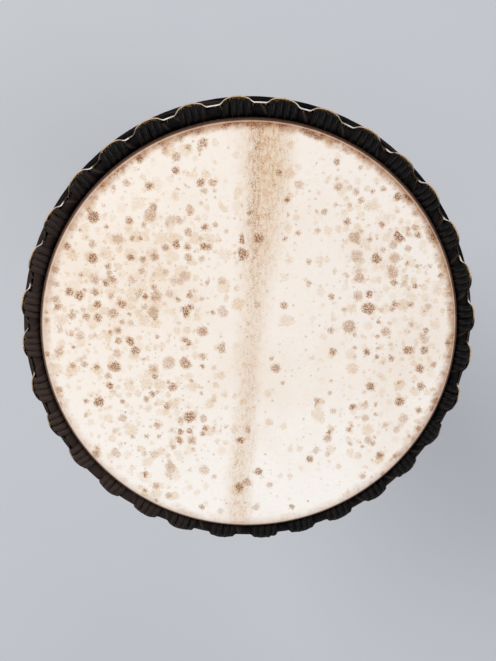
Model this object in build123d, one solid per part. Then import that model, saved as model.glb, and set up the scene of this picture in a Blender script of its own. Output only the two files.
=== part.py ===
from build123d import *
import os
from math import acos, atan2, cos, degrees, radians, sin

os.makedirs("parts", exist_ok=True)

# Rope-tuned goblet hand drum: a carved wooden shell with a goatskin head.
#
# The drum stands on its foot, the origin is the centre of the foot's face, and +Z runs up its axis
# to the head. Sizes are in millimetres. Sections are drawn in the (radius, depth) half plane, where
# depth is the distance below the playing surface.

# ---------------------------------------------------------------- driving dimensions
HEIGHT = 600.0  # foot to playing surface
SHELL_TOP_R = 158.8  # outside radius of the shell below its bearing edge
SKIN = 1.1  # hide thickness
BEARING_OUT = 4.0  # round of the bearing edge, outside
BEARING_IN = 6.0  # round of the bearing edge, inside
HITCHES = 32  # rope hitches round each ring
PITCH = 360.0 / HITCHES  # degrees from one hitch to the next
FIRST_HITCH = 82.6  # degrees from +X of the first crown hitch
ROPE_D = 5.0  # rope diameter
CLEAR = 0.35  # gap left between a rope and what it bears on

ROD_R = 3.0  # steel rod of every ring
WRAP_R = 4.2  # crown and bottom ring over their cloth wrapping
OUTER_WRAP_R = 3.8  # outer ring over its cloth wrapping
OUTER_ROD_R = 2.7
CROWN_RING = (165.2, 10.2)  # ring centres as (radius, depth)
OUTER_RING = (172.1, 20.8)
FLESH_RING = (163.1, 38.0)
BOTTOM_RING_DROP = 28.0  # from the tops of the bottom loops down to the bottom ring

# Shell outline corners as (radius, depth)
RIM_FOOT = (SHELL_TOP_R, 45.0)
BOWL = (150.0, 140.0)
NECK = (83.0, 282.0)
STEM = (93.0, 430.0)
FOOT = (120.0, 592.0)
BOWL_ROUND = 440.0
INNER_RIM = (146.0, 50.0)
INNER_BOWL = (137.0, 140.0)
THROAT = (62.0, 275.0)
INNER_STEM = (70.0, 430.0)
MOUTH = (99.0, 592.0)

# Crown hitch section and loop route
HITCH_CENTRE = (166.9, 9.8)
HITCH_HALF = (6.6, 5.6)
STRANDS = 4
STRAND_STEP = 1.76  # degrees between neighbouring strands of a crown hitch
STRAND_W = 5.35  # a strand pressed against its neighbours
LEG_R = 163.05  # loop legs inside the outer ring
LEG_EXIT = (170.1, 36.0)  # where a leg has come out through the hide
CROWN_LOOP = (165.65, 66.0)  # lowest line of a crown loop
LOOP_ROUND = 8.2
BOTTOM_LOOP_DEPTH = 246.0  # depth on the bowl beside the top of a bottom loop
BOTTOM_LOOP_ROUND = 6.8
BOTTOM_STRAND_STEP = 3.12


# ---------------------------------------------------------------- helpers
def at(radius, depth, angle=0.0):
    """A point at this radius and depth, at this angle round the drum."""
    a = radians(angle)
    return Vector(radius * cos(a), radius * sin(a), HEIGHT - depth)


def lathe(*edges):
    """A solid turned about the drum's axis from a closed outline."""
    return revolve(make_face(Wire(edges)), Axis.Z)


def line(*points):
    return Polyline(*[at(*p) for p in points]).edges()


def rounded(points, radii):
    return FilletPolyline(*[at(*p) for p in points], radius=radii).edges()


def ring(centre, outer, inner=0.0):
    """A round bar, or the tube of its wrapping, bent into a hoop."""
    section = Plane(origin=at(*centre), x_dir=(1, 0, 0), z_dir=(0, -1, 0))
    face = section * Circle(outer)
    if inner:
        face = face - section * Circle(inner)
    return revolve(face, Axis.Z)


def rope(route, radii):
    """A round rope along straight runs and tangent arcs."""
    path = FilletPolyline(*route, radius=radii)
    start = Plane(origin=path @ 0, z_dir=path % 0)
    return sweep(start * Circle(ROPE_D / 2), path=path, transition=Transition.ROUND)


def around(piece, offset=0.0, count=HITCHES):
    """Copies of one piece, one at each pitch round the drum."""
    return [piece.rotate(Axis.Z, offset + i * PITCH) for i in range(count)]


def save(name, *solids):
    shape = solids[0] if len(solids) == 1 else Compound(children=list(solids))
    shape.label = name
    export_step(shape, f"parts/{name}.step")
    print(f"{name:20s} solids {len(shape.solids()):3d}  volume {shape.volume / 1000:9.2f} cm3")


# ---------------------------------------------------------------- shell
def build_shell():
    """Bowl, throat and flared foot, carved from one log."""
    land_out = SHELL_TOP_R - BEARING_OUT
    land_in = INNER_RIM[0] + BEARING_IN
    outside = rounded(
        [(SHELL_TOP_R, SKIN + BEARING_OUT), RIM_FOOT, BOWL, NECK, STEM, FOOT, (FOOT[0] - 1, HEIGHT)],
        [300.0, BOWL_ROUND, 60.0, 600.0, 4.0],
    )
    inside = rounded(
        [(MOUTH[0] + 2, HEIGHT), MOUTH, INNER_STEM, THROAT, INNER_BOWL, INNER_RIM, (INNER_RIM[0], SKIN + BEARING_IN)],
        [5.0, 400.0, 60.0, 300.0, 200.0],
    )
    sole = line((FOOT[0] - 1, HEIGHT), (MOUTH[0] + 2, HEIGHT))
    inner_round = ThreePointArc(
        at(INNER_RIM[0], SKIN + BEARING_IN),
        at(land_in - BEARING_IN * cos(radians(45)), SKIN + BEARING_IN * (1 - sin(radians(45)))),
        at(land_in, SKIN),
    ).edges()
    land = line((land_in, SKIN), (land_out, SKIN))
    outer_round = ThreePointArc(
        at(land_out, SKIN),
        at(land_out + BEARING_OUT * cos(radians(45)), SKIN + BEARING_OUT * (1 - sin(radians(45)))),
        at(SHELL_TOP_R, SKIN + BEARING_OUT),
    ).edges()
    return lathe(*outside, *sole, *inside, *inner_round, *land, *outer_round)


# ---------------------------------------------------------------- hide
def build_hide():
    """One hide: head, side, fold round the flesh ring, and the collar that stands outside the knots."""
    half = SKIN / 2
    side = SHELL_TOP_R + half
    fold = 2 * FLESH_RING[0] - side
    turn = (fold - side) / 2 - 0.05
    depth = FLESH_RING[1] + turn
    collar_r = HITCH_CENTRE[0] + HITCH_HALF[0] + 0.1 + half
    middle = [
        (0.0, half, 0.0),
        (side, half, BEARING_OUT + half),
        (side, depth, turn),
        (fold, depth, turn),
        (fold, 19.5, 4.0),
        (collar_r, 12.5, 3.0),
        (collar_r, 7.0, 0.0),
    ]
    faces = [outline_side(middle, half), outline_side(middle, -half)]
    first, last = faces
    outer = rounded([p[:2] for p in first], [p[2] for p in first[1:-1]])
    inner = rounded([p[:2] for p in last], [p[2] for p in last[1:-1]])
    axis_end = line(first[0][:2], last[0][:2])
    cut_edge = line(first[-1][:2], last[-1][:2])
    hide = lathe(*outer, *cut_edge, *inner, *axis_end)
    slit_from = at(LEG_R, 23.0)
    slit_to = at(*LEG_EXIT)
    slit_plane = Plane(origin=slit_from, z_dir=slit_to - slit_from)
    slit = extrude(slit_plane * Circle(ROPE_D / 2 + 0.15), (slit_to - slit_from).length)
    leg = STRAND_STEP * (STRANDS - 1) / 2
    slits = around(slit, FIRST_HITCH + leg) + around(slit, FIRST_HITCH - leg)
    return hide - slits


def outline_side(middle, shift):
    """The corners of a line parallel to the middle line, with the corner radii that keep it parallel."""
    result = []
    for i, (r, depth, radius) in enumerate(middle):
        before = middle[max(i - 1, 0)]
        after = middle[min(i + 1, len(middle) - 1)]
        into = Vector(r - before[0], depth - before[1]) if i else Vector(after[0] - r, after[1] - depth)
        out = Vector(after[0] - r, after[1] - depth) if i < len(middle) - 1 else into
        into, out = into.normalized(), out.normalized()
        bisector = Vector(into.Y + out.Y, -into.X - out.X).normalized()
        normal = Vector(into.Y, -into.X)
        offset = bisector * (shift / bisector.dot(normal))
        left_turn = into.X * out.Y - into.Y * out.X
        grow = shift if left_turn > 0 else -shift
        result.append((r + offset.X, depth + offset.Y, radius + grow))
    return result


# ---------------------------------------------------------------- hitches
def turn_of_rope(ring_centre, ring_r, centre, half, width):
    """One flattened turn of rope round a ring, its thin side towards the shell."""
    section = Plane(origin=at(*ring_centre), x_dir=(1, 0, 0), z_dir=(0, -1, 0))
    shift = (centre[0] - ring_centre[0], ring_centre[1] - centre[1])
    blank = section * (Pos(*shift) * Ellipse(*half))
    strand = extrude(blank, width / 2, both=True)
    strand = fillet(strand.edges(), 1.9)
    hole = extrude(section * Circle(ring_r + 0.07), ROPE_D, both=True)
    return strand - hole


def build_hitch(turn, strands, step):
    """Neighbouring turns of one hitch as one solid."""
    turns = [turn.rotate(Axis.Z, (i - (strands - 1) / 2) * step) for i in range(strands)]
    return turns[0].fuse(*turns[1:])


# ---------------------------------------------------------------- lacing geometry
def bowl_circle():
    """Centre and radius of the bowl's big round, in (radius, depth)."""
    first = Vector(BOWL[0] - RIM_FOOT[0], BOWL[1] - RIM_FOOT[1]).normalized()
    second = Vector(NECK[0] - BOWL[0], NECK[1] - BOWL[1]).normalized()
    n1 = Vector(first.Y, -first.X)
    n2 = Vector(second.Y, -second.X)
    bisector = (n1 + n2).normalized()
    centre = Vector(*BOWL) - bisector * (BOWL_ROUND / bisector.dot(n1))
    return centre, second, n2


BOWL_CENTRE, BOWL_DOWN, BOWL_OUT = bowl_circle()
LACE_ROUND = BOWL_ROUND + ROPE_D / 2 + 0.5  # the lacing's line over the bowl
WRAP = ROPE_D + CLEAR  # from a loop's middle line to the lacing's line round it
BESIDE = Vector(BOWL[0] + (NECK[0] - BOWL[0]) * (BOTTOM_LOOP_DEPTH - BOWL[1]) / (NECK[1] - BOWL[1]), BOTTOM_LOOP_DEPTH)
BOTTOM_LOOP = BESIDE + BOWL_OUT * (ROPE_D / 2 + 0.5 + WRAP)
BOTTOM_RING = BOTTOM_LOOP + BOWL_DOWN * BOTTOM_RING_DROP


def leg_angle(loop, side, lower):
    """Direction of the normal of a lacing leg: side 1 passes in front of the loop, -1 behind it."""
    reach = Vector(*loop[:2]) - BOWL_CENTRE
    swing = acos((LACE_ROUND - side * WRAP) / reach.length)
    return atan2(reach.Y, reach.X) + (-swing if lower else swing)


def crossing(normal_angle, offset_r, other_normal, other_offset):
    """Where the line with this normal and offset meets another line, in (radius, depth)."""
    a, b = cos(normal_angle), sin(normal_angle)
    c, d = other_normal.X, other_normal.Y
    det = a * d - b * c
    return ((offset_r * d - b * other_offset) / det, (a * other_offset - offset_r * c) / det)


def loop_corner(loop, side, lower):
    """The corner where a leg meets the lacing's turn through a loop."""
    angle = leg_angle(loop, side, lower)
    leg_offset = BOWL_CENTRE.X * cos(angle) + BOWL_CENTRE.Y * sin(angle) + LACE_ROUND
    normal = BOWL_DOWN if lower else Vector(0, -1)
    return crossing(angle, leg_offset, normal, normal.dot(Vector(*loop[:2])) + WRAP)


def bowl_corner(upper_angle, lower_angle):
    """The corner of a run whose round lies along the bowl."""
    middle = (upper_angle + lower_angle) / 2
    reach = LACE_ROUND / cos((lower_angle - upper_angle) / 2)
    return (BOWL_CENTRE.X + reach * cos(middle), BOWL_CENTRE.Y + reach * sin(middle))


def build_lacing():
    """One rope down and up through every loop, from one side of the end knot to the other."""
    lower_loop = (BOTTOM_LOOP.X, BOTTOM_LOOP.Y)
    top_front = loop_corner(CROWN_LOOP, 1, False)
    top_back = loop_corner(CROWN_LOOP, -1, False)
    low_front = loop_corner(lower_loop, 1, True)
    low_back = loop_corner(lower_loop, -1, True)
    going_up = bowl_corner(leg_angle(CROWN_LOOP, 1, False), leg_angle(lower_loop, -1, True))
    going_down = bowl_corner(leg_angle(CROWN_LOOP, -1, False), leg_angle(lower_loop, 1, True))
    top_lean = degrees(0.9 / CROWN_LOOP[0])
    low_lean = degrees(0.9 / lower_loop[0])
    tight = WRAP - 0.15
    first_low = FIRST_HITCH
    knot = BESIDE + BOWL_OUT * 10.5 - BOWL_DOWN * 26.0
    beside = degrees(3.0 / knot.X)
    route = [
        at(knot.X, knot.Y, first_low + beside),
        at(*low_front, first_low - low_lean),
        at(*low_back, first_low + low_lean),
    ]
    radii = [tight, tight]
    for i in range(HITCHES):
        low = first_low + i * PITCH
        top = low + PITCH / 2
        route.append(at(*going_up, low + PITCH * 0.30))
        route.append(at(*top_front, top - top_lean))
        route.append(at(*top_back, top + top_lean))
        route.append(at(*going_down, low + PITCH * 0.70))
        radii += [LACE_ROUND, tight, tight, LACE_ROUND]
        if i < HITCHES - 1:
            route.append(at(*low_front, low + PITCH - low_lean))
            route.append(at(*low_back, low + PITCH + low_lean))
            radii += [tight, tight]
    route.append(at(knot.X, knot.Y, first_low - beside))
    return rope(route, radii), Pos(at(knot.X, knot.Y, first_low)) * Sphere(7.5)


def build_crown_loop():
    """A loop of the crown rope, hanging between two neighbouring hitches."""
    start = STRAND_STEP * (STRANDS - 1) / 2
    end = PITCH - start
    down = [(LEG_R, 14.6), (LEG_R, 23.0), LEG_EXIT, (LEG_EXIT[0], 44.0), CROWN_LOOP]
    route = [at(*p, start) for p in down] + [at(*p, end) for p in reversed(down)]
    bends = [7.0, 7.0, 12.0]
    return rope(route, bends + [LOOP_ROUND, LOOP_ROUND] + bends[::-1])


def build_bottom_loop():
    """A loop of the bottom rope, standing up between two neighbouring hitches."""
    start = BOTTOM_STRAND_STEP / 2
    end = PITCH - start
    foot = BOTTOM_RING - BOWL_DOWN * 4.8
    up = [(foot.X, foot.Y), (BOTTOM_LOOP.X, BOTTOM_LOOP.Y)]
    route = [at(*p, start) for p in up] + [at(*p, end) for p in reversed(up)]
    return rope(route, [BOTTOM_LOOP_ROUND, BOTTOM_LOOP_ROUND])


# ---------------------------------------------------------------- build and save
bottom_ring = (BOTTOM_RING.X, BOTTOM_RING.Y)
crown_turn = turn_of_rope(CROWN_RING, WRAP_R, HITCH_CENTRE, HITCH_HALF, STRAND_W)
bottom_turn = turn_of_rope(bottom_ring, WRAP_R, (bottom_ring[0] + 1.6, bottom_ring[1]), (6.6, 6.2), STRAND_W)
crown_hitch = build_hitch(crown_turn, STRANDS, STRAND_STEP)
bottom_hitch = build_hitch(bottom_turn, 2, BOTTOM_STRAND_STEP)
crown_loop = build_crown_loop() - crown_hitch - crown_hitch.rotate(Axis.Z, PITCH)
bottom_loop = build_bottom_loop() - bottom_hitch - bottom_hitch.rotate(Axis.Z, PITCH)
lacing, end_knot = build_lacing()

save("shell", build_shell())
save("goatskin_head", build_hide())
save("flesh_ring", ring(FLESH_RING, ROD_R))
save("crown_ring", ring(CROWN_RING, ROD_R))
save("crown_ring_wrap", ring(CROWN_RING, WRAP_R, ROD_R))
save("outer_ring", ring(OUTER_RING, OUTER_ROD_R))
save("outer_ring_wrap", ring(OUTER_RING, OUTER_WRAP_R, OUTER_ROD_R))
save("bottom_ring", ring(bottom_ring, ROD_R))
save("bottom_ring_wrap", ring(bottom_ring, WRAP_R, ROD_R))
save("crown_hitches", *around(crown_hitch, FIRST_HITCH))
save("crown_loops", *around(crown_loop, FIRST_HITCH))
save("bottom_hitches", *around(bottom_hitch, FIRST_HITCH + PITCH / 2))
save("bottom_loops", *around(bottom_loop, FIRST_HITCH - PITCH / 2))
save("lacing_rope", lacing)
save("lacing_end_knot", end_knot - lacing)
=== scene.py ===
"""Looks of the rope-tuned goblet drum: hide, rope, cloth wrapping, wood, light and camera."""
import math

import bpy
import numpy as np
from mathutils import Matrix, Vector


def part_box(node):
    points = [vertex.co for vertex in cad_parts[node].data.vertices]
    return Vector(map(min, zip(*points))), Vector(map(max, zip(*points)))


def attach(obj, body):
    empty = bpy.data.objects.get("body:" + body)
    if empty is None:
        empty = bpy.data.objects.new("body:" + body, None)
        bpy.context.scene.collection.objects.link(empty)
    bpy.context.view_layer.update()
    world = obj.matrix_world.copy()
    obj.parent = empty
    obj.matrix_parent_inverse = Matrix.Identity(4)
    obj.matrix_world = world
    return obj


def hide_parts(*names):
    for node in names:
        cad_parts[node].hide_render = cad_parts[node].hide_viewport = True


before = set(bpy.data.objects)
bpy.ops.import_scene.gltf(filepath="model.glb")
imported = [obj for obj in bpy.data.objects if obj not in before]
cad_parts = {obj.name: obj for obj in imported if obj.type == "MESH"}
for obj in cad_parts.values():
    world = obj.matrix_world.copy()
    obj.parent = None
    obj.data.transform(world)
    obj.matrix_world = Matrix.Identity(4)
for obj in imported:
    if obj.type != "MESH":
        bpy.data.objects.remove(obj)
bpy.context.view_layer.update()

MM = 0.001
RNG = np.random.default_rng(71)

# ---------------------------------------------------------------- places, in millimetres
HEAD_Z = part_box("goatskin_head")[1].z / MM
SHELL_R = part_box("shell")[1].x / MM
SKIN = 1.1
ROOT_GAP = 1.25  # between hair roots
ROPE_R = 2.5
ROPE_GIRTH = 15.7
HITCHES = 32
PITCH = 2 * math.pi / HITCHES
FIRST_HITCH = math.radians(82.6)
STRANDS = 4
STRAND_STEP = math.radians(1.76)
LOW_STRAND_STEP = math.radians(3.12)


def hoop(node):
    """(radius, depth below the head, wire radius) of a ring node."""
    low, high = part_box(node)
    wire = (high.z - low.z) / 2 / MM
    return high.x / MM - wire, HEAD_Z - (high.z + low.z) / 2 / MM, wire


CROWN_R, CROWN_D, WRAP_R = hoop("crown_ring_wrap")
OUTER_R, OUTER_D, OUTER_W = hoop("outer_ring_wrap")
LOW_R, LOW_D, LOW_W = hoop("bottom_ring_wrap")
FLESH_R, FLESH_D, _ = hoop("flesh_ring")


# ---------------------------------------------------------------- mesh helpers
def make_mesh(name, verts, quads, uv=None, tris=None):
    """A smooth-shaded mesh object from arrays, its faces turned outwards."""
    verts = np.asarray(verts, float)
    quads = np.asarray(quads, int).reshape(-1, 4)
    tris = np.zeros((0, 3), int) if tris is None else np.asarray(tris, int).reshape(-1, 3)
    halves = np.concatenate([quads[:, [0, 1, 2]], quads[:, [0, 2, 3]], tris])
    a, b, c = (verts[halves[:, i]] for i in range(3))
    if np.einsum("ij,ij->i", a, np.cross(b, c)).sum() < 0:
        quads = quads[:, ::-1]
        tris = tris[:, ::-1]
        if uv is not None:
            uv = (uv[0][:, ::-1], uv[1][:, ::-1] if len(tris) else uv[1])
    mesh = bpy.data.meshes.new(name)
    mesh.vertices.add(len(verts))
    mesh.vertices.foreach_set("co", (verts * MM).ravel())
    loops = np.concatenate([quads.ravel(), tris.ravel()])
    mesh.loops.add(len(loops))
    mesh.loops.foreach_set("vertex_index", loops)
    starts = np.concatenate([np.arange(len(quads)) * 4, len(quads) * 4 + np.arange(len(tris)) * 3])
    mesh.polygons.add(len(starts))
    mesh.polygons.foreach_set("loop_start", starts)
    mesh.polygons.foreach_set("use_smooth", np.ones(len(starts), bool))
    if uv is not None:
        layer = mesh.uv_layers.new(name="UVMap")
        flat = np.concatenate([uv[0].reshape(-1, 2), uv[1].reshape(-1, 2)])
        layer.data.foreach_set("uv", flat.ravel())
    mesh.update(calc_edges=True)
    mesh.validate()
    piece = bpy.data.objects.new(name, mesh)
    bpy.context.scene.collection.objects.link(piece)
    return piece


def grid_quads(rows, cols, close_rows=False, close_cols=False):
    """Faces of a grid of points, joined up in either direction."""
    i = np.arange(rows if close_rows else rows - 1)
    j = np.arange(cols if close_cols else cols - 1)
    i, j = np.meshgrid(i, j, indexing="ij")
    i, j = i.ravel(), j.ravel()
    i2, j2 = (i + 1) % rows, (j + 1) % cols
    return np.stack([i * cols + j, i2 * cols + j, i2 * cols + j2, i * cols + j2], -1), (i, j)


class Bundle:
    """Tubes gathered into one mesh."""

    def __init__(self):
        self.verts, self.quads, self.quad_uv, self.tris, self.tri_uv, self.count = [], [], [], [], [], 0

    def tube(self, centre, across, up, half_w, half_h, sides=12, closed=False):
        """Sweeps an ellipse along centre; u runs along it in units of the rope's girth, v round it."""
        n = len(centre)
        phi = np.arange(sides) / sides * 2 * math.pi
        half_w = np.broadcast_to(half_w, n)[:, None, None]
        half_h = np.broadcast_to(half_h, n)[:, None, None]
        ring = np.cos(phi)[None, :, None] * across[:, None] * half_w
        ring = ring + np.sin(phi)[None, :, None] * up[:, None] * half_h
        verts = centre[:, None] + ring
        quads, (i, j) = grid_quads(n, sides, closed, True)
        ends = np.vstack([centre, centre[:1]]) if closed else centre
        run = np.concatenate([[0], np.cumsum(np.linalg.norm(np.diff(ends, axis=0), axis=1))]) / ROPE_GIRTH
        u0, u1 = run[i], run[np.minimum(i + 1, len(run) - 1)]
        v0, v1 = j / sides, (j + 1) / sides
        uv = np.stack([np.stack(p, -1) for p in ((u0, v0), (u1, v0), (u1, v1), (u0, v1))], 1)
        self.verts.append(verts.reshape(-1, 3))
        self.quads.append(quads + self.count)
        self.quad_uv.append(uv)
        base = self.count
        self.count += n * sides
        if not closed:
            for row, tip in ((0, centre[0]), (n - 1, centre[-1])):
                self.verts.append(tip[None])
                k = np.arange(sides)
                a, b = base + row * sides + k, base + row * sides + (k + 1) % sides
                fan = np.stack([b, a, np.full(sides, self.count)], -1)
                self.tris.append(fan if row == 0 else fan[:, [1, 0, 2]])
                self.tri_uv.append(np.full((sides, 3, 2), run[row] if row else 0.0))
                self.count += 1

    def build(self, name):
        tri_uv = np.concatenate(self.tri_uv) if self.tri_uv else np.zeros((0, 3, 2))
        tris = np.concatenate(self.tris) if self.tris else None
        uv = (np.concatenate(self.quad_uv), tri_uv)
        return make_mesh(name, np.concatenate(self.verts), np.concatenate(self.quads), uv, tris)


def frames(path, start_up):
    """Side and up vectors carried along a path without twist."""
    tangent = np.gradient(path, axis=0)
    tangent /= np.linalg.norm(tangent, axis=1)[:, None]
    ups = np.empty_like(path)
    up = np.asarray(start_up, float)
    for i, t in enumerate(tangent):
        up = up - t * up.dot(t)
        up /= np.linalg.norm(up)
        ups[i] = up
    return np.cross(tangent, ups), ups


def filleted(points, radii, step):
    """Points along straight runs joined by tangent arcs."""
    points = np.asarray(points, float)
    pieces = [points[:1]]
    for i in range(1, len(points) - 1):
        into = points[i] - points[i - 1]
        out = points[i + 1] - points[i]
        into, out = into / np.linalg.norm(into), out / np.linalg.norm(out)
        turn = math.acos(np.clip(into.dot(out), -1, 1))
        middle = out - into
        middle /= np.linalg.norm(middle)
        hub = points[i] + middle * radii[i - 1] / math.cos(turn / 2)
        count = max(3, int(math.ceil(radii[i - 1] * turn / step)) + 1)
        angles = np.linspace(-turn / 2, turn / 2, count)
        side = (into + out) / np.linalg.norm(into + out)
        arc = hub + radii[i - 1] * (-np.cos(angles)[:, None] * middle + np.sin(angles)[:, None] * side)
        pieces.append(arc)
    pieces.append(points[-1:])
    route = np.concatenate(pieces)
    length = np.concatenate([[0], np.cumsum(np.linalg.norm(np.diff(route, axis=0), axis=1))])
    even = np.linspace(0, length[-1], max(3, int(length[-1] / step)))
    return np.stack([np.interp(even, length, route[:, k]) for k in range(3)], -1)


def polar(radius, depth, angle):
    """Points of the drum from radius, depth below the head and angle round the axis."""
    radius, depth, angle = np.broadcast_arrays(radius, depth, angle)
    return np.stack([radius * np.cos(angle), radius * np.sin(angle), HEAD_Z - depth], -1)


def smooth(x):
    x = np.clip(x, 0, 1)
    return x * x * (3 - 2 * x)


def ripple(angle, seed, waves=(5, 9, 14, 23, 37)):
    """A smooth closed random wave round the drum, about -1 to 1."""
    rng = np.random.default_rng(seed)
    total = np.zeros_like(angle)
    for n in waves:
        total += np.cos(n * angle + rng.uniform(0, 2 * math.pi)) / math.sqrt(len(waves))
    return total


# ---------------------------------------------------------------- material helpers
def srgb(r, g, b):
    """A linear colour from the 0 to 255 values that a colour picker shows."""
    def channel(c):
        c /= 255
        return c / 12.92 if c <= 0.04045 else ((c + 0.055) / 1.055) ** 2.4
    return (channel(r), channel(g), channel(b), 1.0)


class Shade:
    """Short calls for building one material's nodes."""

    def __init__(self, name):
        self.material = bpy.data.materials.new(name)
        self.material.use_nodes = True
        self.tree = self.material.node_tree
        self.shader = self.tree.nodes["Principled BSDF"]

    def plug(self, socket, value):
        if isinstance(value, bpy.types.NodeSocket):
            self.tree.links.new(value, socket)
        else:
            socket.default_value = value

    def node(self, kind, out=0, settings=None, **inputs):
        node = self.tree.nodes.new("ShaderNode" + kind)
        for key, value in (settings or {}).items():
            setattr(node, key, value)
        for key, value in inputs.items():
            self.plug(node.inputs[int(key[1:]) if key[0] == "i" and key[1:].isdigit() else key], value)
        return node.outputs[out]

    def math(self, operation, a, b=0.0):
        return self.node("Math", settings={"operation": operation}, i0=a, i1=b)

    def add(self, a, b):
        return self.math("ADD", a, b)

    def sub(self, a, b):
        return self.math("SUBTRACT", a, b)

    def mul(self, a, b):
        return self.math("MULTIPLY", a, b)

    def step(self, x, low, high, to_low=0.0, to_high=1.0):
        """Smooth ramp of x from low to high."""
        settings = {"interpolation_type": "SMOOTHSTEP"}
        return self.node("MapRange", settings=settings, i0=x, i1=low, i2=high, i3=to_low, i4=to_high)

    def mix(self, factor, a, b, blend="MIX"):
        settings = {"data_type": "RGBA", "blend_type": blend}
        return self.node("Mix", 2, settings, i0=factor, i6=a, i7=b)

    def noise(self, vector, scale, detail=3.0, rough=0.5, out=0):
        return self.node("TexNoise", out, i0=vector, i2=scale, i3=detail, i4=rough)

    def place(self):
        """Object position in millimetres."""
        coord = self.node("TexCoord", 3)
        return self.node("VectorMath", settings={"operation": "SCALE"}, i0=coord, i3=1000.0)

    def split(self, vector):
        node = self.tree.nodes.new("ShaderNodeSeparateXYZ")
        self.plug(node.inputs[0], vector)
        return node.outputs

    def join(self, x, y, z=0.0):
        return self.node("CombineXYZ", i0=x, i1=y, i2=z)

    def bump(self, height, strength, distance, below=None):
        node = self.tree.nodes.new("ShaderNodeBump")
        node.inputs["Strength"].default_value = strength
        node.inputs["Distance"].default_value = distance
        self.plug(node.inputs["Height"], height)
        if below is not None:
            self.plug(node.inputs["Normal"], below)
        return node.outputs[0]

    def finish(self, color, roughness, normal=None, **sockets):
        self.plug(self.shader.inputs["Base Color"], color)
        self.plug(self.shader.inputs["Roughness"], roughness)
        if normal is not None:
            self.plug(self.shader.inputs["Normal"], normal)
        for key, value in sockets.items():
            self.shader.inputs[key.replace("_", " ")].default_value = value
        return self.material


def dress(piece, material):
    """Gives a piece its material and lets it ride on the drum."""
    piece.data.materials.clear()
    piece.data.materials.append(material)
    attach(piece, "root")


# ---------------------------------------------------------------- materials
def spots(s, flat, cell, density, small, large, seed, fringe):
    """Round hair-root spots, in some of the cells of a Voronoi pattern: (spot, halo)."""
    shift = s.node("VectorMath", settings={"operation": "ADD"}, i0=flat, i1=(seed * 37.1, seed * 91.7, 0.0))
    wobble = s.noise(shift, 0.5, 5.0, 0.8, out=1)
    wobble = s.node("VectorMath", settings={"operation": "SUBTRACT"}, i0=wobble, i1=(0.5, 0.5, 0.5))
    wobble = s.node("VectorMath", settings={"operation": "SCALE"}, i0=wobble, i3=fringe)
    shift = s.node("VectorMath", settings={"operation": "ADD"}, i0=shift, i1=wobble)
    cells = s.tree.nodes.new("ShaderNodeTexVoronoi")
    cells.voronoi_dimensions = "2D"
    cells.inputs["Scale"].default_value = 1.0 / cell
    cells.inputs["Randomness"].default_value = 0.95
    s.plug(cells.inputs["Vector"], shift)
    lot = s.split(cells.outputs["Color"])
    size = s.add(small, s.mul(s.math("POWER", lot[1], 1.5), large - small))
    outside = s.sub(s.mul(cells.outputs["Distance"], cell), size)
    level = s.mul(s.math("LESS_THAN", lot[0], density), s.add(0.4, s.mul(lot[2], 0.6)))
    return s.mul(s.step(outside, 0.9, -1.4), level), s.mul(s.step(outside, 0.3 * large, -0.5), level)


def follicles(s, flat):
    """The pattern of separate hair roots."""
    roots = s.tree.nodes.new("ShaderNodeTexVoronoi")
    roots.voronoi_dimensions = "2D"
    roots.inputs["Scale"].default_value = 1.0 / ROOT_GAP
    s.plug(roots.inputs["Vector"], flat)
    return s.step(roots.outputs["Distance"], 0.6, 0.2)


def patch(s, x, y, centre, radius):
    """1 at a place on the head, falling to 0 at this radius."""
    dx = s.sub(x, centre[0])
    dy = s.sub(y, centre[1])
    away = s.math("SQRT", s.add(s.mul(dx, dx), s.mul(dy, dy)))
    return s.step(away, radius, 0.0)


TAN = (0.73, 0.51, 0.25, 1.0)  # these darken the cream where hair roots stained it
BROWN = (0.41, 0.19, 0.08, 1.0)
UMBER = (0.16, 0.07, 0.03, 1.0)


def spot_density(s, x, y):
    """Where the spots gather: both flanks, few along the middle."""
    places = (
        ((-80.0, 60.0), 100.0, 0.85), ((-118.0, 0.0), 80.0, 0.6), ((-70.0, -75.0), 90.0, 0.6),
        ((90.0, 80.0), 80.0, 0.6), ((115.0, 25.0), 80.0, 0.6), ((100.0, -60.0), 80.0, 0.5),
    )
    total = 0.14
    for centre, radius, level in places:
        total = s.add(total, s.mul(patch(s, x, y, centre, radius), level))
    bare = patch(s, x, y, (32.0, 15.0), 70.0)
    return s.mul(total, s.sub(1.0, s.mul(bare, 0.5)))


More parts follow.
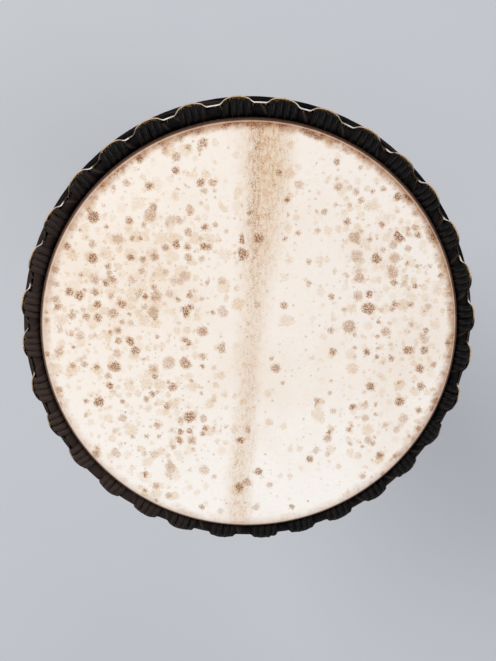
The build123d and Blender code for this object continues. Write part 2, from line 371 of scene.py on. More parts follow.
def spotted_cream(s, flat, x, y, roots, fine):
    """The scraped head: cream, pale blotches, brown spots and specks."""
    cloud = s.noise(flat, 0.012, 4.0, 0.55)
    grain = s.noise(flat, 1.3, 3.0, 0.7)
    # painted light: the cream is made slightly warmer on the left and paler towards the lower side, as lamp
    # light falling there
    cream = s.mix(s.step(x, -150.0, 150.0), srgb(245, 233, 220), srgb(242, 232, 222))
    cream = s.mix(s.step(y, 20.0, -150.0, 0.0, 0.8), cream, srgb(249, 243, 236))
    cream = s.mix(s.step(cloud, 0.45, 0.68, 0.0, 0.14), cream, TAN, "MULTIPLY")
    cream = s.mix(s.mul(s.step(fine, 0.52, 0.72), 0.13), cream, TAN, "MULTIPLY")
    cream = s.mix(s.mul(s.step(grain, 0.56, 0.74), 0.24), cream, BROWN, "MULTIPLY")

    density = spot_density(s, x, y)
    wide, wide_halo = spots(s, flat, 12.5, s.mul(density, 0.95), 1.9, 4.8, 3.0, 11.0)
    narrow, narrow_halo = spots(s, flat, 7.5, s.mul(density, 0.9), 1.1, 2.8, 5.0, 8.0)
    pale = s.math("MAXIMUM", s.math("MAXIMUM", wide_halo, narrow_halo), s.math("MAXIMUM", wide, narrow))
    mottle = s.step(s.noise(flat, 0.7, 4.0, 0.7), 0.36, 0.62, 0.3, 1.0)
    color = s.mix(s.mul(s.mul(pale, mottle), 0.6), cream, TAN, "MULTIPLY")

    large, large_halo = spots(s, flat, 14.0, s.mul(density, 0.75), 2.0, 5.0, 1.0, 9.0)
    middle, middle_halo = spots(s, flat, 9.0, s.mul(density, 0.55), 1.3, 3.2, 2.0, 7.0)
    little, _ = spots(s, flat, 5.0, s.mul(s.add(density, 0.3), 0.4), 0.35, 1.0, 4.0, 2.0)
    halo = s.math("MAXIMUM", large_halo, middle_halo)
    color = s.mix(s.mul(halo, 0.42), color, TAN, "MULTIPLY")
    brown = s.math("MAXIMUM", s.math("MAXIMUM", large, middle), little)
    rooty = s.math("MINIMUM", s.mul(brown, s.add(0.38, s.mul(roots, 0.8))), 1.0)
    color = s.mix(s.mul(rooty, 0.84), color, BROWN, "MULTIPLY")
    core = s.mul(s.step(brown, 0.6, 0.95), s.step(roots, 0.45, 1.0))
    return s.mix(s.mul(core, 0.5), color, UMBER, "MULTIPLY")


def back_line(s, flat, color, x, y, roots, fine):
    """The darker line of the animal's back, strong at one end of the head."""
    wander = s.mul(s.sub(s.noise(flat, 0.03, 3.0), 0.5), 10.0)
    along = s.add(x, wander)
    top = s.step(y, -30.0, 150.0)
    low = s.step(y, 20.0, -150.0)
    middle = s.add(s.mul(top, 11.0), s.mul(low, -9.0))
    spread = s.math("ABSOLUTE", s.sub(along, middle))
    band = s.step(s.math("DIVIDE", spread, s.add(s.mul(top, 8.0), 10.0)), 1.5, 0.1)
    streak = s.step(s.noise(s.join(s.mul(x, 0.5), s.mul(y, 0.14)), 1.0, 4.0, 0.65), 0.3, 0.7)
    level = s.add(s.add(0.26, s.mul(top, 0.36)), s.mul(low, 0.16))
    band = s.mul(s.mul(band, level), s.add(0.5, s.mul(streak, 0.7)))
    color = s.mix(band, color, TAN, "MULTIPLY")
    ridge = s.step(s.math("ABSOLUTE", s.sub(along, s.sub(2.0, s.mul(low, 3.5)))), 7.5, 0.5)
    level = s.add(0.08, s.mul(s.step(y, 0.0, 130.0), 0.26))
    ridge = s.mul(s.mul(ridge, level), s.add(0.2, s.mul(s.mul(roots, streak), 1.6)))
    color = s.mix(ridge, color, BROWN, "MULTIPLY")
    dots = s.mul(s.mul(band, roots), s.step(fine, 0.4, 0.6))
    return s.mix(s.mul(dots, 0.8), color, BROWN, "MULTIPLY")


def edge_stain(s, flat, color, x, y, radius, roots):
    """Dirt and hair left near the bearing edge, most at the top and the right."""
    upper = s.step(s.add(y, s.mul(x, 0.55)), -90.0, 130.0)
    ragged = s.mul(s.sub(s.noise(flat, 0.1, 4.0, 0.65), 0.5), 15.0)
    stain = s.step(s.add(radius, ragged), 149.0, 159.0)
    color = s.mix(s.mul(stain, s.add(0.2, s.mul(upper, 0.55))), color, TAN, "MULTIPLY")
    clumps = s.step(s.noise(flat, 0.085, 4.0, 0.65), 0.47, 0.6)
    clumps = s.mul(clumps, s.step(s.add(radius, ragged), 149.0, 156.0))
    clumps = s.mul(clumps, s.add(0.25, s.mul(upper, 0.85)))
    color = s.mix(s.mul(clumps, s.add(0.35, s.mul(roots, 0.6))), color, BROWN, "MULTIPLY")
    crest = s.mul(s.step(radius, 153.5, 157.5), s.add(0.18, s.mul(upper, 0.3)))
    color = s.mix(crest, color, BROWN, "MULTIPLY")
    soot = s.add(0.27, s.add(s.mul(y, 0.0011), s.mul(x, 0.0005)))
    soot = s.mul(soot, s.step(s.add(radius, s.mul(ragged, 0.5)), 149.5, 155.0))
    soot = s.mul(soot, s.step(s.noise(flat, 0.16, 3.0, 0.65), 0.3, 0.6, 0.6, 1.25))
    return s.mix(soot, color, BROWN, "MULTIPLY")


def painted_lower_left_light(s, x, y):
    """Painted light on the lower left of the rim, lighter and browner there: 0 for none, 1 for the most."""
    return s.step(s.sub(s.mul(x, -1.0), s.mul(y, 0.35)), 60.0, 185.0)


def collar_tones(s, x, y, radius, drop, hair):
    """The collar outside the knots: hair inside it, dark flesh side outside, a pale cut edge, with light and
    shade painted on the cut edge and the hair side.
    """
    angle = s.math("ARCTAN2", y, x)
    phase = s.mul(s.sub(angle, FIRST_HITCH), float(HITCHES))
    knot = s.step(s.math("COSINE", phase), -0.75, -0.1)
    upper_side = s.mul(s.math("SINE", phase), s.math("DIVIDE", x, radius))
    broken = s.noise(s.join(s.mul(angle, 55.0), drop), 1.0, 4.0, 0.6)
    flank = s.math("ABSOLUTE", s.math("DIVIDE", x, radius))
    # painted light and shade: the cut edge is painted near white between the knots and pale where it faces
    # up, at the top and on the upper flanks of the knots, and dark elsewhere; the hair side is painted brown
    # only where lit near the edge, near black deeper down
    lit = s.add(s.add(s.step(y, -150.0, 60.0, -0.3, 0.6), s.mul(upper_side, 0.75)), s.mul(broken, 0.9))
    lit = s.sub(lit, s.mul(s.mul(flank, s.sub(1.0, knot)), 0.75))
    lit = s.step(lit, 0.35, 0.95)
    cut_color = s.mix(knot, srgb(238, 233, 226), srgb(207, 182, 150))
    cut_color = s.mix(s.mul(knot, s.step(hair, 0.45, 0.7, 0.0, 0.5)), cut_color, srgb(134, 106, 80))
    cut_color = s.mix(lit, srgb(46, 36, 30), cut_color)
    normal = s.node("NewGeometry", 1)
    nx, ny, nz = s.split(normal)
    outward = s.add(s.mul(nx, s.math("DIVIDE", x, radius)), s.mul(ny, s.math("DIVIDE", y, radius)))
    inner_color = s.mix(s.mul(s.step(drop, 13.0, 8.0), lit), srgb(24, 18, 15), srgb(112, 78, 50))
    outer_color = s.mix(s.step(broken, 0.4, 0.65), srgb(34, 28, 25), srgb(86, 68, 52))
    bare = s.mix(s.step(hair, 0.3, 0.7), srgb(150, 118, 84), srgb(190, 160, 122))
    outer_color = s.mix(s.step(s.add(drop, s.mul(broken, 5.0)), 24.0, 30.0), outer_color, bare)
    color = s.mix(s.step(outward, -0.3, 0.3), inner_color, outer_color)
    return s.mix(s.step(nz, 0.35, 0.75), color, cut_color)


def goatskin():
    s = Shade("goatskin")
    at = s.place()
    x, y, z = s.split(at)
    flat = s.join(x, y)
    radius = s.math("SQRT", s.add(s.mul(x, x), s.mul(y, y)))
    drop = s.sub(HEAD_Z, z)
    fine = s.noise(flat, 0.22, 5.0, 0.6)
    roots = follicles(s, flat)
    grain = s.noise(flat, 1.3, 3.0, 0.7)

    color = spotted_cream(s, flat, x, y, roots, fine)
    color = back_line(s, flat, color, x, y, roots, fine)
    color = edge_stain(s, flat, color, x, y, radius, roots)
    # painted highlight: a thin light line along the crest of the bearing edge, where the head turns over it
    crest = s.mul(s.step(s.math("ABSOLUTE", s.sub(radius, 156.9)), 0.8, 0.2), s.step(drop, 1.4, 0.8))
    color = s.mix(s.mul(crest, 0.45), color, srgb(232, 210, 188))

    # over the edge and down the side, where the hair was left; deeper down it is darkened as painted shade
    hair = s.noise(s.join(s.mul(x, 0.9), s.mul(y, 0.9), s.mul(z, 0.16)), 1.0, 3.0, 0.7)
    brown = s.mix(s.step(hair, 0.35, 0.65), srgb(62, 36, 24), srgb(106, 70, 48))
    brown = s.mix(s.step(y, 40.0, 140.0, 0.0, 0.55), brown, srgb(58, 33, 22))
    color = s.mix(s.step(drop, 0.35, 1.15, 0.0, 0.93), color, brown)
    # painted shade: deeper down the side, in the crevice against the crown ring, the hair's brown goes near
    # black
    dark = s.mix(s.step(hair, 0.4, 0.65), srgb(26, 17, 12), srgb(58, 38, 26))
    color = s.mix(s.step(drop, 1.1, 3.2), color, dark)
    collar = s.step(radius, 162.5, 163.5)
    color = s.mix(collar, color, collar_tones(s, x, y, radius, drop, hair))

    relief = s.bump(s.add(s.mul(roots, 0.35), s.mul(grain, 0.4)), 0.12, 0.0006)
    relief = s.bump(s.noise(flat, 0.05, 3.0), 0.15, 0.002, relief)
    return s.finish(color, s.step(fine, 0.3, 0.7, 0.52, 0.68), relief, Subsurface_Weight=0.05,
                    Subsurface_Scale=0.003, IOR=1.45, Specular_IOR_Level=0.3)


def braided_rope():
    """Black rope of sixteen plaited strands; the pattern follows the rope's own length and girth."""
    s = Shade("black_rope")
    uv = s.node("UVMap")
    u, v, _ = s.split(uv)
    turns, lean = 8.0, 2.2
    a = s.add(s.mul(v, turns), s.mul(u, lean))
    b = s.sub(s.mul(v, turns), s.mul(u, lean))
    crown_a = s.math("SINE", s.mul(s.math("FRACT", a), math.pi))
    crown_b = s.math("SINE", s.mul(s.math("FRACT", b), math.pi))
    over = s.math("FLOORED_MODULO", s.add(s.math("FLOOR", a), s.math("FLOOR", b)), 2.0)
    plait = s.add(s.mul(crown_a, over), s.mul(crown_b, s.sub(1.0, over)))
    fibre = s.noise(s.join(s.mul(s.add(a, s.mul(over, 9.0)), 4.0), s.mul(b, 0.8)), 1.0, 3.0, 0.7)
    patchy = s.noise(s.place(), 0.09, 3.0, 0.6)
    streak = s.noise(s.join(s.mul(u, 1.6), s.mul(v, 19.0)), 1.0, 4.0, 0.65)
    # painted highlight and shade: the crowns of the strands are painted lighter than the grooves between
    # them, and thin pale glints are painted on the crowns
    tone = s.add(s.add(s.mul(plait, 0.4), s.mul(fibre, 0.3)), s.mul(streak, 0.3))
    glint = s.mul(s.step(streak, 0.52, 0.66), s.step(plait, 0.1, 0.7))
    color = s.mix(s.step(tone, 0.4, 0.85), srgb(2, 1, 1), srgb(17, 14, 13))
    color = s.mix(s.mul(glint, 0.8), color, srgb(74, 66, 62))
    color = s.mix(s.step(patchy, 0.5, 0.75, 0.0, 0.45), color, srgb(38, 29, 24))
    x, y, _ = s.split(s.place())
    # painted light: the rope is made lighter and browner towards the lower left
    color = s.mix(s.mul(painted_lower_left_light(s, x, y), s.step(streak, 0.3, 0.6, 0.35, 0.95)), color, srgb(66, 52, 46))
    relief = s.bump(plait, 0.45, 0.0004)
    relief = s.bump(s.add(s.mul(fibre, 0.5), s.mul(streak, 1.4)), 0.8, 0.0006, relief)
    return s.finish(color, s.step(fibre, 0.2, 0.8, 0.5, 0.75), relief, Sheen_Weight=0.01, Sheen_Roughness=0.4,
                    Specular_IOR_Level=0.11)


def black_cloth():
    """Faded black cotton strip: weave across the strip and fluff, with painted highlights on the raised laps
    and creases and painted light on the lower left.
    """
    s = Shade("black_cloth")
    uv = s.node("UVMap")
    u, v, _ = s.split(uv)
    phase = s.math("FRACT", s.add(u, v))
    lap = s.step(s.math("ABSOLUTE", s.sub(phase, 0.16)), 0.12, 0.02)
    crease = s.noise(s.join(s.mul(phase, 7.0), s.mul(v, 2.0), s.mul(u, 0.4)), 1.0, 3.0, 0.6)
    weave = s.mul(s.math("SINE", s.mul(phase, 120.0)), s.math("SINE", s.mul(v, 110.0)))
    at = s.place()
    dust = s.noise(at, 0.12, 4.0, 0.65)
    fluff = s.noise(at, 1.6, 4.0, 0.7)
    color = s.mix(s.step(dust, 0.38, 0.72), srgb(6, 5, 5), srgb(23, 18, 16))
    color = s.mix(s.step(fluff, 0.55, 0.8, 0.0, 0.4), color, srgb(52, 46, 42))
    # painted highlight: the raised laps and the crease ridges are painted lighter and browner
    painted_lap_highlight = s.math("MAXIMUM", s.mul(lap, 0.6), s.step(crease, 0.56, 0.7, 0.0, 0.5))
    color = s.mix(painted_lap_highlight, color, srgb(60, 49, 42))
    x, y, _ = s.split(at)
    # painted light: the cloth is made lighter and browner towards the lower left
    color = s.mix(s.mul(painted_lower_left_light(s, x, y), 0.7), color, srgb(60, 47, 42))
    relief = s.bump(weave, 0.25, 0.0002)
    relief = s.bump(crease, 0.6, 0.001, relief)
    relief = s.bump(fluff, 0.4, 0.0006, relief)
    return s.finish(color, 0.85, relief, Sheen_Weight=0.01, Sheen_Roughness=0.5, Specular_IOR_Level=0.09)


def carved_wood():
    """Dark oiled hardwood, grain up the drum, with faint marks of the adze."""
    s = Shade("shell_wood")
    at = s.place()
    x, y, z = s.split(at)
    bend = s.noise(s.join(s.mul(x, 0.01), s.mul(y, 0.01), s.mul(z, 0.0022)), 1.0, 3.0)
    off = s.add(s.add(x, 40.0), s.mul(bend, 46.0))
    aside = s.add(y, s.mul(bend, 22.0))
    across = s.math("SQRT", s.add(s.mul(off, off), s.mul(aside, aside)))
    years = s.math("SINE", s.add(s.mul(across, 0.9), s.mul(bend, 14.0)))
    pores = s.noise(s.join(s.mul(x, 1.2), s.mul(y, 1.2), s.mul(z, 0.035)), 1.0, 4.0, 0.7)
    fleck = s.noise(s.join(s.mul(x, 3.2), s.mul(y, 3.2), s.mul(z, 0.12)), 1.0, 2.0, 0.6)
    broad = s.noise(s.join(s.mul(x, 0.03), s.mul(y, 0.03), s.mul(z, 0.008)), 1.0, 4.0)
    tone = s.add(s.mul(s.add(years, 1.0), 0.035), s.add(s.mul(pores, 0.5), s.mul(broad, 0.52)))
    color = s.mix(s.step(tone, 0.3, 0.8), srgb(50, 26, 15), srgb(112, 66, 38))
    color = s.mix(s.step(fleck, 0.58, 0.72, 0.0, 0.6), color, srgb(34, 18, 11))
    wear = s.mul(s.step(z, 14.0, 2.0), s.step(s.noise(at, 0.15, 3.0), 0.35, 0.65))
    color = s.mix(s.mul(wear, 0.6), color, srgb(142, 104, 70))
    adze = s.tree.nodes.new("ShaderNodeTexVoronoi")
    adze.inputs["Scale"].default_value = 1.0 / 26.0
    s.plug(adze.inputs["Vector"], s.join(x, y, s.mul(z, 0.55)))
    relief = s.bump(adze.outputs["Distance"], 0.18, 0.003)
    relief = s.bump(s.add(pores, s.mul(fleck, 0.6)), 0.35, 0.0005, relief)
    rough = s.step(pores, 0.3, 0.7, 0.36, 0.55)
    return s.finish(color, rough, relief, Specular_IOR_Level=0.5, Coat_Weight=0.12, Coat_Roughness=0.35)


def dull_steel():
    s = Shade("ring_steel")
    at = s.place()
    scale = s.noise(at, 0.3, 4.0, 0.6)
    color = s.mix(s.step(scale, 0.35, 0.7), srgb(92, 88, 84), srgb(70, 52, 42))
    return s.finish(color, s.step(scale, 0.3, 0.7, 0.35, 0.7), s.bump(scale, 0.2, 0.0003), Metallic=0.9)


def loose_hair():
    s = Shade("hide_hair")
    tone = s.noise(s.place(), 0.4, 2.0)
    color = s.mix(s.step(tone, 0.35, 0.65), srgb(134, 96, 60), srgb(206, 172, 126))
    return s.finish(color, 0.55, Specular_IOR_Level=0.3)


# ---------------------------------------------------------------- the hide
HITCH_ANGLES = FIRST_HITCH + np.arange(HITCHES) * PITCH + np.radians(RNG.uniform(-0.55, 0.55, HITCHES))
DOME_HALF = 11.4  # half width of the bulge that a knot makes in the collar
EDGE_GAP = CROWN_R + WRAP_R + 0.55  # collar between the knots, at its cut edge
EDGE_KNOT = CROWN_R + WRAP_R + 5.3  # collar outside a knot
HIDE_COLUMNS = 960
EDGE_ROUND = 4.0  # radius of the bearing edge
COLLAR_FOOT = 19.5  # depth where the collar leaves the fold
HALF_CUT = 0.46  # half thickness at the cut edge
SHORT_HAIRS = 5200
# the few long ones, as (degrees, length)
LONG_HAIRS = ((100.5, 9.0), (99.0, 6.0), (102.5, 5.0), (-63.0, 7.0), (-61.0, 4.0), (40.0, 5.0))


def nearest_hitch(angle):
    """Signed arc length in millimetres from each angle to its nearest hitch."""
    away = (angle[:, None] - HITCH_ANGLES[None] + math.pi) % (2 * math.pi) - math.pi
    return away[np.arange(len(angle)), np.abs(away).argmin(1)] * EDGE_KNOT


def build_hide():
    """Head, bearing edge, side, fold and the collar that goes in and out round the knots."""
    cols = HIDE_COLUMNS
    angle = np.arange(cols) / cols * 2 * math.pi
    half = SKIN / 2
    side_r = SHELL_R + half
    fold_r = 2 * FLESH_R - side_r
    turn = (fold_r - side_r) / 2
    dome = np.sqrt(np.clip(1 - (np.abs(nearest_hitch(angle)) / DOME_HALF) ** 2, 0, 1))
    dome = np.convolve(np.concatenate([dome[-6:], dome, dome[:6]]), np.ones(3) / 3, "same")[6:-6]
    edge_r = EDGE_GAP + (EDGE_KNOT - EDGE_GAP) * dome + 0.25 * ripple(angle, 5)
    edge_r = np.maximum(edge_r, EDGE_GAP - 0.1)
    sunk = smooth((-0.25 - np.sin(angle)) / 0.5)  # the collar was cut lower along one side
    edge_d = 7.2 + 1.4 * dome + 3.2 * sunk + 0.45 * ripple(angle, 6, (7, 19, 33, 61, 90))
    rows = []
    normals = []

    def row(radius, depth, nr, nz):
        rows.append(polar(radius, depth, angle))
        normals.append(np.stack([nr * np.cos(angle), nr * np.sin(angle), np.broadcast_to(nz, cols)], -1))

    crest = SHELL_R - EDGE_ROUND
    bend = EDGE_ROUND + half
    for r in np.concatenate([np.linspace(3.0, crest - 8, 9), np.linspace(crest - 4, crest, 3)]):
        row(r, half, 0.0, 1.0)
    for t in np.linspace(0, math.pi / 2, 8)[1:]:
        row(crest + bend * math.sin(t), half + bend * (1 - math.cos(t)), math.sin(t), math.cos(t))
    for d in np.linspace(8, FLESH_D, 5):
        row(side_r, d, 1.0, 0.0)
    for t in np.linspace(0, math.pi, 10)[1:]:
        row(FLESH_R - turn * math.cos(t), FLESH_D + turn * math.sin(t), math.cos(t), math.sin(t))
    for d in np.linspace(FLESH_D - 2.5, 21.5, 4):
        row(fold_r, d, -1.0, 0.0)
    lip = np.linspace(0, 1, 10)
    for t in lip:
        # from inside the outer ring, out over it, and up beside the knots
        out = fold_r + (edge_r - fold_r) * smooth(t * 1.25)
        row(out, COLLAR_FOOT + (edge_d - COLLAR_FOOT) * t, -1.0, 0.35 * (1 - t))
    middle = np.stack(rows)
    normal = np.stack(normals)
    normal /= np.linalg.norm(normal, axis=2)[:, :, None]
    count = len(rows)
    thick = np.full(count, half)
    thick[-len(lip):] = np.linspace(half, HALF_CUT, len(lip))
    outer = middle + normal * thick[:, None, None]
    inner = middle - normal * thick[:, None, None]
    loops = np.concatenate([outer, inner[::-1]])
    quads, _ = grid_quads(2 * count, cols, False, True)
    verts = np.concatenate([loops.reshape(-1, 3), [[0, 0, HEAD_Z], [0, 0, HEAD_Z - SKIN]]])
    j = np.arange(cols)
    k = (j + 1) % cols
    last = (2 * count - 1) * cols
    top = np.stack([j, k, np.full(cols, 2 * count * cols)], -1)
    under = np.stack([last + k, last + j, np.full(cols, 2 * count * cols + 1)], -1)
    piece = make_mesh("hide", verts, quads, None, np.concatenate([top, under]))
    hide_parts("goatskin_head")
    return piece, edge_r, edge_d, angle


def build_hair(edge_r, edge_d, angle):
    """Short hair left on the inside of the collar, and a few long ones at the bearing edge."""
    hairs = Bundle()
    rng = np.random.default_rng(12)
    for _ in range(SHORT_HAIRS):
        a = rng.uniform(0, 2 * math.pi)
        i = int(a / (2 * math.pi) * len(angle)) % len(angle)
        bulge = (edge_r[i] - EDGE_GAP) / (EDGE_KNOT - EDGE_GAP)
        if rng.uniform() > (0.2 + 0.8 * bulge) * (0.25 + 0.75 * smooth(0.5 + math.sin(a))):
            continue
        length = rng.uniform(1.0, 3.4)
        root_d = edge_d[i] + rng.uniform(0.1, 2.4)
        root = np.array([edge_r[i] - SKIN / 2, root_d])
        lean = np.array([rng.uniform(-0.95, 0.15), -rng.uniform(0.5, 1.0)])
        t = np.linspace(0, 1, 4)
        r = root[0] + lean[0] * length * t + 0.2 * t * t
        d = root[1] + lean[1] * length * t
        path = polar(r, np.maximum(d, 0.3), a + rng.uniform(-0.006, 0.006) * t)
        across, up = frames(path, (0.1, 0.2, 1.0))
        hairs.tube(path, across, up, 0.13 * (1 - 0.7 * t), 0.13 * (1 - 0.7 * t), sides=3)
    for a, length in LONG_HAIRS:
        t = np.linspace(0, 1, 10)
        base = math.radians(a)
        arch = np.sin(t * math.pi)
        path = polar(159.5 - 2.5 * arch, 3.0 - 2.4 * arch, base + t * length / 160)
        across, up = frames(path, (0.1, 0.2, 1.0))
        hairs.tube(path, across, up, 0.12, 0.12, sides=4)
    return hairs.build("hide_hair")


# ---------------------------------------------------------------- rings and hitches
def build_wrap(name, ring, turns, lap, lengthwise, seed):
    """A ring's cloth: a strip wound round it at a slant, each turn lapping over the last."""
    radius, depth, wire = ring
    cols, sides = 2200, 22
    angle = np.arange(cols) / cols * 2 * math.pi
    phi = np.arange(sides) / sides * 2 * math.pi
    a, p = np.meshgrid(angle, phi, indexing="ij")
    wind = (a * turns + p) / (2 * math.pi)
    wind = wind + 0.06 * ripple(a, seed) + 0.02 * np.sin(3 * p + 40 * a)
    phase = wind % 1.0
    height = lap * (smooth(phase / 0.12) - phase)
    crease = lengthwise * (np.sin(5 * p + 0.8 * ripple(a, seed + 1)) + 0.6 * np.sin(9 * p + 3.0))
    r = wire - lap * 0.55 - lengthwise + height + crease * 0.5 + 0.05 * ripple(a * 3, seed + 2)
    verts = polar(radius + r * np.cos(p), depth - r * np.sin(p), a)
    quads, (i, j) = grid_quads(cols, sides, True, True)
    u0, u1 = i / cols * turns, (i + 1) / cols * turns  # u counts the strip's turns
    v0, v1 = j / sides, (j + 1) / sides
    uv = np.stack([np.stack(q, -1) for q in ((u0, v0), (u1, v0), (u1, v1), (u0, v1))], 1)
    return make_mesh(name, verts.reshape(-1, 3), quads, (uv, np.zeros((0, 3, 2))))


def hitch(bundle, ring, angle, strands, step, reach, thin, rng):
    """The turns of one hitch: rope pressed flat against the shell and round outside."""
    radius, depth, wire = ring
    turn = np.linspace(0, 2 * math.pi, 46, endpoint=False)
    lean = rng.uniform(-0.8, 0.8)
    for k in range(strands):
        place = k - (strands - 1) / 2
        thick = reach * (1.02 - 0.09 * place * place) * rng.uniform(0.94, 1.04)
        inward = smooth((np.abs((turn % (2 * math.pi)) - math.pi) / math.radians(95)))
        full = thin + (thick - thin) * inward
        over = smooth(1 - np.abs((turn - math.pi * 0.5) / 1.2))
        full = full * (1 - 0.16 * over)
        middle = wire + full / 2
        slant = lean + rng.uniform(-0.5, 0.5)
        drift = slant * np.sin(turn + rng.uniform(-0.6, 0.6)) + place * 0.28 * np.cos(turn) * -1.0
        r = radius + middle * np.cos(turn)
        d = depth - middle * np.sin(turn)
        around = angle + place * step + drift / radius
        centre = polar(r, d, around)
        out = np.stack([np.cos(turn) * np.cos(around), np.cos(turn) * np.sin(around), np.sin(turn)], -1)
        side = np.stack([-np.sin(around), np.cos(around), np.zeros_like(around)], -1)
        width = ROPE_R * (1.02 + 0.08 * rng.uniform(-1, 1) + 0.04 * np.sin(3 * turn + rng.uniform(0, 6)))
        bundle.tube(centre, side, out, width, full / 2, sides=16, closed=True)


def build_crown_hitches():
    knots = Bundle()
    ring = (CROWN_R, CROWN_D, WRAP_R)
    for a in HITCH_ANGLES:
        hitch(knots, ring, a, STRANDS, STRAND_STEP, 4.05, 0.9, RNG)
    return knots.build("crown_knots")


def build_low_hitches():
    knots = Bundle()
    ring = (LOW_R, LOW_D, LOW_W)
    for i in range(HITCHES):
        hitch(knots, ring, FIRST_HITCH + (i + 0.5) * PITCH, 2, LOW_STRAND_STEP, 4.0, 0.8, RNG)
    return knots.build("bottom_knots")


# ---------------------------------------------------------------- loops and lacing
# places are (radius, depth below the head)
LEG_R = 163.05
LEG_EXIT = (170.1, 36.0)  # a crown loop's outermost point, below the outer ring
CROWN_LOOP = np.array([165.65, 66.0])
LOOP_ROUND = 8.2
LOW_LOOP_ROUND = 6.8
RIM_FOOT = np.array([158.8, 45.0])
BOWL = np.array([150.0, 140.0])
NECK = np.array([83.0, 282.0])
BOWL_ROUND = 440.0
CLEAR = 0.35
STANDOFF = 0.5  # between the rope and the bowl
LOW_LOOP_DEPTH = 246.0
LACE_ASIDE = 0.9  # from a loop's middle to each leg of the lacing
KNOT_OUT = 10.5
KNOT_UP = 26.0
WRAP = 2 * ROPE_R + CLEAR
LACE_ROUND = BOWL_ROUND + ROPE_R + STANDOFF


def unit(v):
    return v / np.linalg.norm(v)


UPPER = unit(BOWL - RIM_FOOT)
LOWER = unit(NECK - BOWL)
LOWER_OUT = np.array([LOWER[1], -LOWER[0]])
BISECTOR = unit(np.array([UPPER[1], -UPPER[0]]) + LOWER_OUT)
BOWL_CENTRE = BOWL - BISECTOR * BOWL_ROUND / BISECTOR.dot(LOWER_OUT)
BESIDE = BOWL + (NECK - BOWL) * (LOW_LOOP_DEPTH - BOWL[1]) / (NECK[1] - BOWL[1])
LOW_LOOP = BESIDE + LOWER_OUT * (ROPE_R + STANDOFF + WRAP)


def leg_angle(loop, side, lower):
    """Normal direction of a lacing leg, in front of (1) or behind (-1) a loop."""
    reach = loop - BOWL_CENTRE
    swing = math.acos((LACE_ROUND - side * WRAP) / np.linalg.norm(reach))
    return math.atan2(reach[1], reach[0]) + (-swing if lower else swing)


def loop_corner(loop, side, lower):
    angle = leg_angle(loop, side, lower)
    leg = np.array([math.cos(angle), math.sin(angle)])
    end = LOWER if lower else np.array([0.0, -1.0])
    offsets = [leg.dot(BOWL_CENTRE) + LACE_ROUND, end.dot(loop) + WRAP]
    return np.linalg.solve(np.stack([leg, end]), offsets)


def bowl_corner(high, low):
    middle = (high + low) / 2
    reach = LACE_ROUND / math.cos((low - high) / 2)
    return BOWL_CENTRE + reach * np.array([math.cos(middle), math.sin(middle)])


def lacing_route():
    """The lacing's corners and rounds, down and up through every loop."""
    top_front, top_back = (loop_corner(CROWN_LOOP, k, False) for k in (1, -1))
    low_front, low_back = (loop_corner(LOW_LOOP, k, True) for k in (1, -1))
    rise = bowl_corner(leg_angle(CROWN_LOOP, 1, False), leg_angle(LOW_LOOP, -1, True))
    fall = bowl_corner(leg_angle(CROWN_LOOP, -1, False), leg_angle(LOW_LOOP, 1, True))
    top_lean = LACE_ASIDE / CROWN_LOOP[0]
    low_lean = LACE_ASIDE / LOW_LOOP[0]
    tight = WRAP - 0.15
    knot = BESIDE + LOWER_OUT * KNOT_OUT - LOWER * KNOT_UP
    first = FIRST_HITCH
    route = [(*knot, first + 3.0 / knot[0]), (*low_front, first - low_lean), (*low_back, first + low_lean)]
    radii = [tight, tight]
    for i in range(HITCHES):
        low = first + i * PITCH
        top = low + PITCH / 2
        route += [(*rise, low + PITCH * 0.30), (*top_front, top - top_lean)]
        route += [(*top_back, top + top_lean), (*fall, low + PITCH * 0.70)]
        radii += [LACE_ROUND, tight, tight, LACE_ROUND]
        if i < HITCHES - 1:
            route += [(*low_front, low + PITCH - low_lean), (*low_back, low + PITCH + low_lean)]
            radii += [tight, tight]
    route.append((*knot, first - 3.0 / knot[0]))
    return np.array([polar(*p) for p in route]), radii, polar(*knot, first)


def build_lacing():
    points, radii, knot = lacing_route()
    path = filleted(points, radii, 1.75)
    rope = Bundle()
    across, up = frames(path, path[0] * (1, 1, 0))
    rope.tube(path, across, up, ROPE_R, ROPE_R, sides=12)
    return rope.build("lacing"), knot


def build_end_knot(knot):
    """Two overhand turns drawn tight into a small hard ball."""
    bundle = Bundle()
    out = unit(knot * (1, 1, 0))
    side = np.cross((0, 0, 1.0), out)
    t = np.linspace(0, 2 * math.pi, 150, endpoint=False)
    big, small = 4.3, 1.7
    ring = big + small * np.cos(3 * t)
    centre = knot + (ring * np.cos(2 * t))[:, None] * side
    centre = centre + (ring * np.sin(2 * t))[:, None] * np.array([0, 0, 1.0])
    centre = centre + (small * 1.25 * np.sin(3 * t))[:, None] * out
    wrapped = np.vstack([centre[-3:], centre, centre[:3]])
    tangent = np.gradient(wrapped, axis=0)[3:-3]
    tangent /= np.linalg.norm(tangent, axis=1)[:, None]
    from_knot = centre - knot
    across = np.cross(tangent, from_knot)
    across /= np.linalg.norm(across, axis=1)[:, None]
    up = np.cross(across, tangent)
    bundle.tube(centre, across, up, ROPE_R * 0.82, ROPE_R * 0.82, sides=12, closed=True)
    return bundle.build("end_knot")


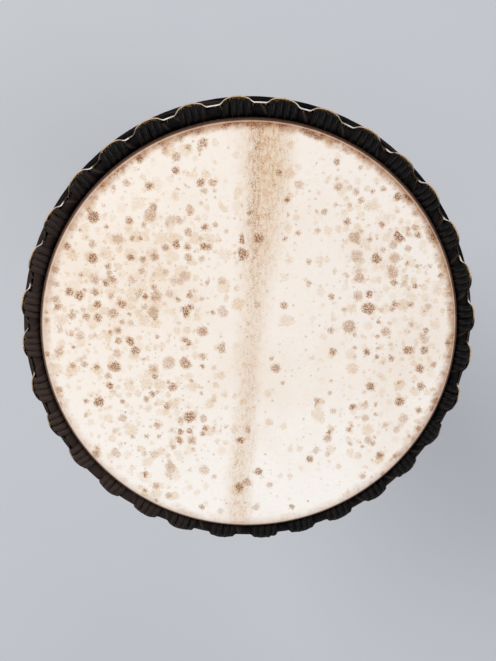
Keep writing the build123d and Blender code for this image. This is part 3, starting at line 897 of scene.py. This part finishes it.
def build_crown_loops():
    loops = Bundle()
    down = [(LEG_R, 13.0), (LEG_R, 23.0), LEG_EXIT, (LEG_EXIT[0], 44.0), tuple(CROWN_LOOP)]
    radii = [7.0, 7.0, 12.0]
    inset = STRAND_STEP * (STRANDS - 1) / 2
    for i in range(HITCHES):
        start = FIRST_HITCH + i * PITCH + inset
        end = FIRST_HITCH + (i + 1) * PITCH - inset
        points = [polar(*p, start) for p in down] + [polar(*p, end) for p in reversed(down)]
        path = filleted(points, radii + [LOOP_ROUND] * 2 + radii[::-1], 1.0)
        across, up = frames(path, path[0] * (1, 1, 0))
        loops.tube(path, across, up, ROPE_R, ROPE_R, sides=14)
    return loops.build("crown_rope_loops")


def build_low_loops():
    loops = Bundle()
    ring = np.array([LOW_R, LOW_D])
    foot = ring - LOWER * 4.8
    inset = LOW_STRAND_STEP / 2
    for i in range(HITCHES):
        start = FIRST_HITCH + (i - 0.5) * PITCH + inset
        end = FIRST_HITCH + (i + 0.5) * PITCH - inset
        up_leg = [tuple(foot), tuple(LOW_LOOP)]
        points = [polar(*p, start) for p in up_leg] + [polar(*p, end) for p in reversed(up_leg)]
        path = filleted(points, [LOW_LOOP_ROUND] * 2, 0.9)
        across, up = frames(path, path[0] * (1, 1, 0))
        loops.tube(path, across, up, ROPE_R, ROPE_R, sides=14)
    return loops.build("bottom_rope_loops")


# ---------------------------------------------------------------- stage, light and camera
def build_stage():
    bpy.ops.mesh.primitive_grid_add(x_subdivisions=8, y_subdivisions=8, size=60.0, location=(0, 0, 0))
    floor = bpy.context.object
    floor.name = "floor"
    s = Shade("floor_plain")
    tone = s.noise(s.place(), 0.0016, 3.0)
    color = s.mix(tone, srgb(196, 199, 203), srgb(208, 210, 213))
    floor.data.materials.append(s.finish(color, 0.7))


def area(name, place, aim, size, power, color=(1, 1, 1)):
    data = bpy.data.lights.new(name, "AREA")
    data.shape = "DISK"
    data.size = size
    data.energy = power
    data.color = color
    lamp = bpy.data.objects.new(name, data)
    lamp.location = place
    lamp.rotation_euler = (Vector(aim) - Vector(place)).to_track_quat("-Z", "Y").to_euler()
    bpy.context.scene.collection.objects.link(lamp)


def build_light():
    head = (0, 0, HEAD_Z * MM)
    area("window", (-1.5, 1.3, 2.3), head, 1.4, 41.5, (1.0, 0.99, 0.975))
    area("fill", (1.6, -0.9, 2.1), head, 1.8, 15.0, (0.97, 0.98, 1.0))
    world = bpy.data.worlds.new("studio")
    bpy.context.scene.world = world
    world.use_nodes = True
    world.node_tree.nodes["Background"].inputs[0].default_value = (0.93, 0.95, 1.0, 1)
    world.node_tree.nodes["Background"].inputs[1].default_value = 0.55


def build_camera():
    """Above the head and a little to the left, as the drum is seen."""
    away = 0.5993  # metres from the head; chosen, as the photo doesn't settle it
    up_tilt, side_tilt = 0.2138, 0.0403  # radians
    aside, below = 0.00222, -0.00244  # where the head's centre lies from the middle of the picture
    turn = Matrix.Rotation(side_tilt, 3, "Y") @ Matrix.Rotation(up_tilt, 3, "X")
    back = turn.transposed()
    place = back @ Vector((-aside, -below, away))
    data = bpy.data.cameras.new("camera")
    data.sensor_fit = "VERTICAL"
    data.sensor_height = 36.0
    data.sensor_width = 36.0
    data.lens = 42.84
    camera = bpy.data.objects.new("camera", data)
    camera.matrix_world = Matrix.Translation(place + Vector((0, 0, HEAD_Z * MM))) @ back.to_4x4()
    bpy.context.scene.collection.objects.link(camera)
    bpy.context.scene.camera = camera


# ---------------------------------------------------------------- put together
build_camera()
build_stage()
build_light()
bpy.context.scene.view_settings.view_transform = "Standard"

ROPE = braided_rope()
CLOTH = black_cloth()
STEEL = dull_steel()

hide, EDGE_R, EDGE_D, EDGE_A = build_hide()
dress(hide, goatskin())
dress(build_hair(EDGE_R, EDGE_D, EDGE_A), loose_hair())

WRAPS = (
    ("crown_wrap", "crown_ring_wrap", (CROWN_R, CROWN_D, WRAP_R), 70, 0.85, 0.06, 21),
    ("outer_wrap", "outer_ring_wrap", (OUTER_R, OUTER_D, OUTER_W), 7, 0.22, 0.26, 31),
    ("bottom_wrap", "bottom_ring_wrap", (LOW_R, LOW_D, LOW_W), 40, 0.8, 0.06, 41),
)
for piece_name, node, ring, turns, lap, lengthwise, seed in WRAPS:
    wrap = build_wrap(piece_name, ring, turns, lap, lengthwise, seed)
    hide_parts(node)
    dress(wrap, CLOTH)

lacing, KNOT_AT = build_lacing()
ROPES = (
    (build_crown_hitches(), "crown_hitches"),
    (build_low_hitches(), "bottom_hitches"),
    (build_crown_loops(), "crown_loops"),
    (build_low_loops(), "bottom_loops"),
    (lacing, "lacing_rope"),
    (build_end_knot(KNOT_AT), "lacing_end_knot"),
)
for piece, node in ROPES:
    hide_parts(node)
    dress(piece, ROPE)

for node in ("flesh_ring", "crown_ring", "outer_ring", "bottom_ring"):
    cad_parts[node].data.materials.clear()
    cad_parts[node].data.materials.append(STEEL)
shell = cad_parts["shell"]
shell.data.materials.clear()
shell.data.materials.append(carved_wood())
